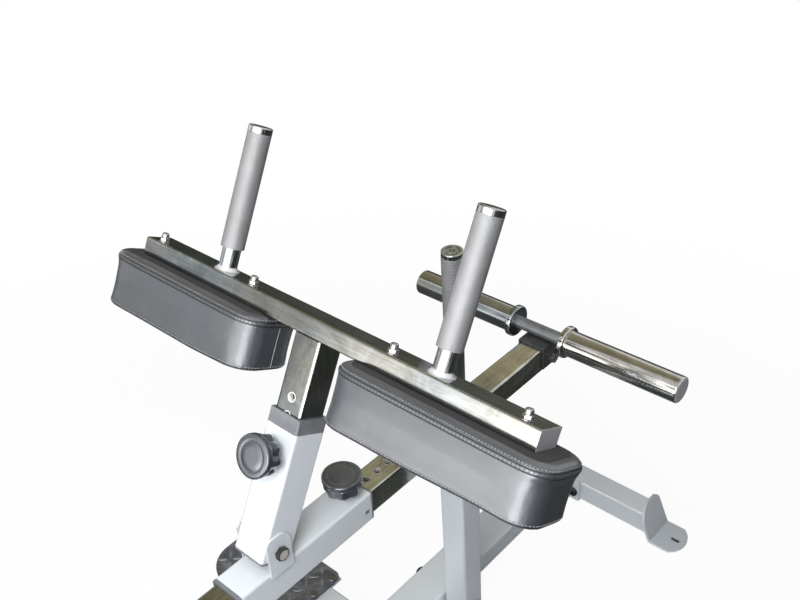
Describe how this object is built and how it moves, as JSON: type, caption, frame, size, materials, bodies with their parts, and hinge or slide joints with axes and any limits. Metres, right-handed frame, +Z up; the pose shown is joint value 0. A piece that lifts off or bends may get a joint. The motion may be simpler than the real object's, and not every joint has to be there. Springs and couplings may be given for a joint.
{
  "type": "seated calf raise machine",
  "caption": "Seated calf raise machine: low base with seat and foot plates, pivoting lever with weight horns, sliding carriage with leaning pad post and handles, and a hand catch.",
  "frame": {"origin": "on the floor under the middle of the machine's bounding box", "axes": "+Z up, +Y forwards from the seat to the weight horns, +X to the right of the seated user"},
  "size_m": [0.816, 1.458, 0.9747],
  "materials": {
    "silver_paint": "smooth silver-grey powder coat, glossy",
    "chrome": "bright polished chrome plate",
    "knurled_grip": "satin, finely knurled",
    "dark_grip": "dark grey, finely ribbed",
    "black_knob": "black, slightly worn gloss",
    "grey_bush": "dark grey moulded plastic",
    "black_cap": "black moulded plastic",
    "charcoal_vinyl": "charcoal upholstery vinyl, light grain",
    "plywood": "board with black backing cloth",
    "zinc": "zinc plated",
    "black_bolt": "black oxide",
    "dark_steel": "dark polished steel"
  },
  "bodies": {
    "base_frame": {"base_beam": "silver_paint", "joint_plates": "silver_paint", "front_cross_foot": "silver_paint", "rear_cross_foot": "silver_paint", "front_foot_bracket_left": "silver_paint", "front_foot_bracket_right": "silver_paint", "rear_foot_bracket_left": "silver_paint", "rear_foot_bracket_right": "silver_paint", "foot_bolts": "black_bolt", "step_tube": "silver_paint", "step_tube_caps": "black_cap", "foot_plate_left": "dark_steel", "foot_plate_right": "dark_steel", "foot_plate_screws": "zinc", "seat_post": "silver_paint", "seat_plate": "silver_paint", "seat_board": "plywood", "seat_cushion": "charcoal_vinyl", "seat_screws": "zinc", "pivot_plates": "silver_paint", "pivot_bolt": "zinc", "catch_pivot_bolt": "black_bolt"},
    "weight_lever": {"lever_tube": "chrome", "pivot_sleeve": "zinc", "pivot_bushes": "grey_bush", "lever_end_caps": "black_cap", "horn_bracket": "silver_paint", "horn_bolt": "zinc", "weight_shaft": "chrome", "weight_collars": "chrome", "weight_sleeve_left": "chrome", "weight_sleeve_right": "chrome", "lever_rest_peg": "zinc"},
    "carriage": {"carriage_sleeve": "silver_paint", "carriage_bushes": "grey_bush", "upright_ears": "silver_paint", "upright_bolt": "zinc", "upright_sleeve": "silver_paint", "upright_bush": "grey_bush", "upright_end_cap": "grey_bush", "pin_housings": "chrome"},
    "pad_assembly": {"post_tube": "chrome", "crossbar": "chrome", "handle_left": "chrome", "handle_right": "chrome", "grip_left": "knurled_grip", "grip_right": "knurled_grip", "handle_caps": "chrome", "pad_left": "charcoal_vinyl", "pad_right": "charcoal_vinyl", "pad_boards": "plywood", "pad_bolts": "zinc"},
    "height_lock": {"height_knob": "black_knob", "height_pin": "zinc"},
    "carriage_lock": {"carriage_knob": "black_knob", "carriage_pin": "zinc"},
    "catch_lever": {"catch_post": "silver_paint", "catch_handle": "chrome", "catch_grip": "dark_grip", "catch_cap": "chrome"}
  },
  "joints": [
    {"name": "lever_pivot", "type": "hinge", "parent": "base_frame", "child": "weight_lever", "pos_m": [0, -0.508, 0.406], "axis": [1, 0, 0], "range_deg": [0, 15]},
    {"name": "carriage_slide", "type": "slide", "parent": "weight_lever", "child": "carriage", "axis": [0, 1, 0], "range_m": [-0.052, 0.104]},
    {"name": "pad_height_slide", "type": "slide", "parent": "carriage", "child": "pad_assembly", "axis": [0, 0.4695, 0.8829], "range_m": [-0.084, 0.028]},
    {"name": "height_pin_pull", "type": "slide", "parent": "carriage", "child": "height_lock", "axis": [0, -0.8829, 0.4695], "range_m": [0, 0.012], "stiffness_N_per_m": 600, "springref_m": -0.012},
    {"name": "carriage_pin_pull", "type": "slide", "parent": "carriage", "child": "carriage_lock", "axis": [0, 0, 1], "range_m": [0, 0.012], "stiffness_N_per_m": 600, "springref_m": -0.012},
    {"name": "catch_swing", "type": "hinge", "parent": "base_frame", "child": "catch_lever", "pos_m": [0.064, 0.28, 0.024], "axis": [-1, 0, 0], "range_deg": [0, 18]}
  ]
}
